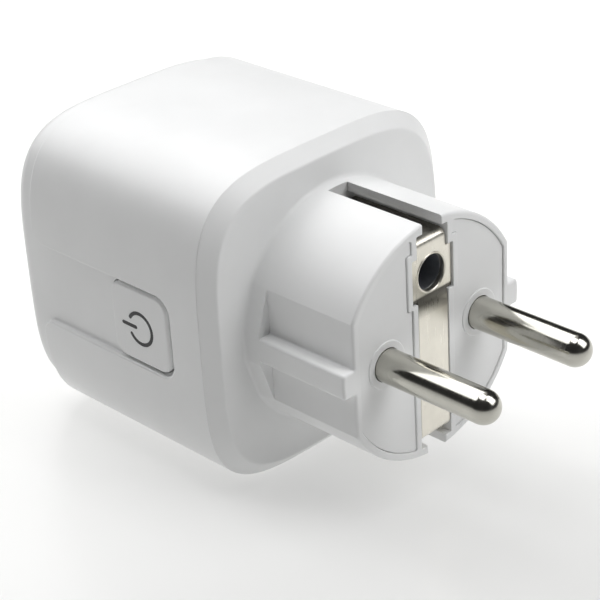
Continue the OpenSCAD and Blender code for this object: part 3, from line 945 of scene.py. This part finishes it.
def sign_outlines(extra=0.0):
    """The broken ring and the bar of a power sign, with round ends, as depth and Z."""
    centre = (SIGN_DEPTH, SIGN_Z)
    inner, outer = SIGN_RING
    middle = (inner + outer) / 2
    thick = (outer - inner) / 2 + extra
    steps = 40
    ring = arc(centre, middle + thick, SIGN_GAP, 360 - SIGN_GAP, steps)
    far = arc(centre, middle, 360 - SIGN_GAP, 360 - SIGN_GAP, 1)[0]
    near = arc(centre, middle, SIGN_GAP, SIGN_GAP, 1)[0]
    ring += arc(far, thick, -SIGN_GAP, 180 - SIGN_GAP, 8)[1:-1]
    ring += arc(centre, middle - thick, 360 - SIGN_GAP, SIGN_GAP, steps)
    ring += arc(near, thick, 180 + SIGN_GAP, 360 + SIGN_GAP, 8)[1:-1]
    half = SIGN_BAR_HALF + extra
    bar = rounded(SIGN_DEPTH + SIGN_BAR[0] - extra, SIGN_DEPTH + SIGN_BAR[1] + extra,
                  SIGN_Z - half, SIGN_Z + half, half * 0.999, 6)
    return [ring, bar]


def button():
    """The rounded square cap, hollow, with a retaining lip, a stem and pockets for the sign."""
    d0, d1 = SIGN_DEPTH - BUTTON_HALF, SIGN_DEPTH + BUTTON_HALF
    lip_x = INNER_HALF - 0.15
    over = 0.7
    wall = 1.2
    face = rounded(d0, d1, -BUTTON_HALF, BUTTON_HALF, BUTTON_CORNER, 10)
    cap = prism("button_cap", face, slab(BUTTON_FACE, lip_x - 1, 0.5), along_x)
    lip = rounded(d0 - over, d1 + over, -BUTTON_HALF - over, BUTTON_HALF + over, 2.6)
    join(cap, prism("lip", lip, slab(lip_x - 0.9, lip_x), along_x))
    inside = rounded(d0 + wall, d1 - wall, wall - BUTTON_HALF, BUTTON_HALF - wall, 1.5)
    carve(cap, prism("inside", inside, slab(lip_x - 2, BUTTON_FACE - 1.3), along_x))
    stem_r = 1.6
    stem = arc((SIGN_DEPTH, 0), stem_r, 0, 360, 32)[:-1]
    join(cap, prism("stem", stem, slab(BUTTON_LIP, BUTTON_FACE - 1.2), along_x))
    for outline in sign_outlines(0.02):
        carve(cap, prism("sign_pocket", outline, pocket(BUTTON_FACE, BUTTON_FACE - 0.3, 0.02), along_x))
    return finish(cap)


def power_symbol():
    """The inlaid ring and bar of the power sign, a little proud of the cap."""
    stations = slab(BUTTON_FACE - 0.28, BUTTON_FACE + 0.03, 0, 0.04)
    ring, bar = [prism("sign", outline, stations, along_x) for outline in sign_outlines()]
    return finish(join(ring, bar))


# ---- pieces on their bodies ----

def place(piece, name, body, node, slot):
    """Names and paints a piece, and puts it on its body in place of a CAD node."""
    piece.name = name
    piece.data.name = name
    piece.data.materials.clear()
    piece.data.materials.append(PAINT[slot])
    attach(piece, body)
    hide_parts(node)


place(housing_shell(), "housing_shell_fine", "plug_body", "housing_shell", "white_shell")
place(rear_cover(), "rear_cover_fine", "plug_body", "rear_cover", "white_barrel")
place(pin_carrier(), "pin_carrier_fine", "plug_body", "pin_carrier", "white_insert")
place(pin("line_pin_turned", -PIN_X), "line_pin_turned", "plug_body", "line_pin", "nickel")
place(pin("neutral_pin_turned", PIN_X), "neutral_pin_turned", "plug_body", "neutral_pin", "nickel")
place(plug_earth_strip(), "plug_earth_strip_bent", "plug_body", "plug_earth_strip", "nickel_strip")
place(socket_well(), "socket_well_fine", "plug_body", "socket_well", "white_shell")
place(button(), "button_fine", "button_body", "button", "white_button")
place(power_symbol(), "power_symbol_print", "button_body", "power_symbol", "symbol_black")


# ---- CAD nodes that stay ----

# Nodes that don't use their slot's material: the earth sleeve gets a dull grey metal, as painted shade that
# darkens the earth hole
INSIDE = {"earth_pin_sleeve": metal("dull_sleeve_painted_shade", (0.5, 0.52, 0.56), 0.45, relief=0.0002)}
SLOTS = {entry["node"]: entry["material_slot"] for entry in frame["record"]["subparts"]}
EASE_ANGLE = 32
for node, piece in frame["nodes"].items():
    if piece.hide_render:
        continue
    piece.data.materials.clear()
    piece.data.materials.append(INSIDE.get(node, PAINT[SLOTS[node]]))
    piece.data.shade_smooth()
    piece.data.set_sharp_from_angle(angle=math.radians(EASE_ANGLE))
    low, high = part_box(node)
    thin = min(high - low)
    ease = piece.modifiers.new("eased_edges", "BEVEL")
    ease.width = min(0.12 * MM, 0.08 * thin)
    ease.segments = 2
    ease.limit_method = "ANGLE"
    ease.angle_limit = math.radians(EASE_ANGLE)
    ease.use_clamp_overlap = True
    weight = piece.modifiers.new("true_normals", "WEIGHTED_NORMAL")
    weight.keep_sharp = True


# ---- camera, floor and light ----

VIEW_TURN = math.radians(136.6)
VIEW_RISE = math.radians(28.04)
VIEW_ROLL = math.radians(-3.55)
VIEW_AWAY = 270.2
VIEW_SHIFT = Vector((2.6, -1.8, -1.0))
LOOK_AT = (CAD_BOX[0] + CAD_BOX[1]) / 2 + VIEW_SHIFT * MM
LENS = 112.5


def camera():
    """A camera at VIEW_AWAY from LOOK_AT, turned about the vertical, raised and rolled."""
    level_part = math.cos(VIEW_RISE)
    back = Vector((math.sin(VIEW_TURN) * level_part, -math.cos(VIEW_TURN) * level_part, math.sin(VIEW_RISE)))
    level = Vector((math.cos(VIEW_TURN), math.sin(VIEW_TURN), 0))
    upright = back.cross(level)
    right = level * math.cos(VIEW_ROLL) + upright * math.sin(VIEW_ROLL)
    up = back.cross(right)
    data = bpy.data.cameras.new("view")
    data.lens = LENS
    data.sensor_width = 36
    data.clip_start = 0.01
    data.clip_end = 20
    eye = bpy.data.objects.new("view", data)
    turn = Matrix((right, up, back)).transposed().to_4x4()
    eye.matrix_world = Matrix.Translation(LOOK_AT + back * VIEW_AWAY * MM) @ turn
    bpy.context.scene.collection.objects.link(eye)
    bpy.context.scene.camera = eye


def floor_paint():
    """A pale satin floor with a faint emission, which is painted light; it fades over 0.14 m across the
    diagonal under the object, darker towards +X and +Y, as painted shade on that side.
    """
    paint = shader("pale_floor_painted_light", Roughness=0.3, IOR=1.45, Emission_Strength=0.62)
    pale = ramp(paint, noise(paint, 0.02, 3), (0.49, 0.49, 0.485), (0.51, 0.51, 0.505))
    where = add(paint, "ShaderNodeTexCoord")
    across = add(paint, "ShaderNodeMapping")
    fade_start = 0.57
    fade_rate = 10
    across.inputs["Location"].default_value = (fade_start, 0, 0)
    across.inputs["Rotation"].default_value = (0, 0, math.radians(-45))
    across.inputs["Scale"].default_value = [fade_rate] * 3
    fade = add(paint, "ShaderNodeTexGradient")
    paint.node_tree.links.new(where.outputs["Object"], across.inputs["Vector"])
    paint.node_tree.links.new(across.outputs["Vector"], fade.inputs["Vector"])
    # Painted light and shade: the floor's emission is brightest towards -X -Y and dims towards +X +Y
    painted_light_and_shade = ramp(paint, fade.outputs["Fac"], (1, 1, 0.99), (0.41, 0.41, 0.405), 0, 1)
    connect(paint, "Base Color", pale)
    connect(paint, "Emission Color", painted_light_and_shade)
    return paint


def floor():
    """One flat sheet that the object stands on."""
    reach = 4.0
    corners = [(-reach, -reach), (reach, -reach), (reach, reach), (-reach, reach)]
    mesh = bpy.data.meshes.new("floor")
    mesh.from_pydata([(x, y, FLOOR_Z) for x, y in corners], [], [(0, 1, 2, 3)])
    mesh.materials.append(floor_paint())
    ground = bpy.data.objects.new("floor", mesh)
    bpy.context.scene.collection.objects.link(ground)


def softbox(name, direction, distance, width, height, power):
    """A rectangular area light that faces the object."""
    data = bpy.data.lights.new(name, "AREA")
    data.shape = "RECTANGLE"
    data.size = width
    data.size_y = height
    data.energy = power
    lamp = bpy.data.objects.new(name, data)
    away = Vector(direction).normalized()
    lamp.location = LOOK_AT + away * distance
    lamp.rotation_euler = away.to_track_quat("Z", "Y").to_euler()
    bpy.context.scene.collection.objects.link(lamp)


def sky():
    """A dark room with a pale strip along the horizon."""
    world = bpy.data.worlds.new("studio")
    world.use_nodes = True
    bpy.context.scene.world = world
    nodes = world.node_tree.nodes
    links = world.node_tree.links
    where = nodes.new("ShaderNodeTexCoord")
    split = nodes.new("ShaderNodeSeparateXYZ")
    grade = nodes.new("ShaderNodeValToRGB")
    near, far = grade.color_ramp.elements
    near.position = 0.02
    near.color = (0.25, 0.25, 0.25, 1)
    far.position = 0.12
    far.color = (0.03, 0.03, 0.03, 1)
    links.new(where.outputs["Generated"], split.inputs["Vector"])
    links.new(split.outputs["Z"], grade.inputs["Fac"])
    links.new(grade.outputs["Color"], nodes["Background"].inputs["Color"])


# Name, direction from the object, distance, width and height in metres, power in watts
SOFTBOXES = [
    ("key", (-0.03, -0.64, 0.77), 0.7, 0.9, 0.5, 3.3),
    ("overhead", (0, 0, 1), 0.7, 0.4, 0.4, 1.8),
    ("back_left", (-0.35, -0.35, 1), 0.7, 0.5, 0.5, 0.4),
    ("right_high", (-0.38, 0.6, 0.72), 0.6, 0.4, 0.5, 1.95),
]

camera()
floor()
sky()
for box_light in SOFTBOXES:
    softbox(*box_light)
bpy.context.scene.view_settings.view_transform = "Standard"
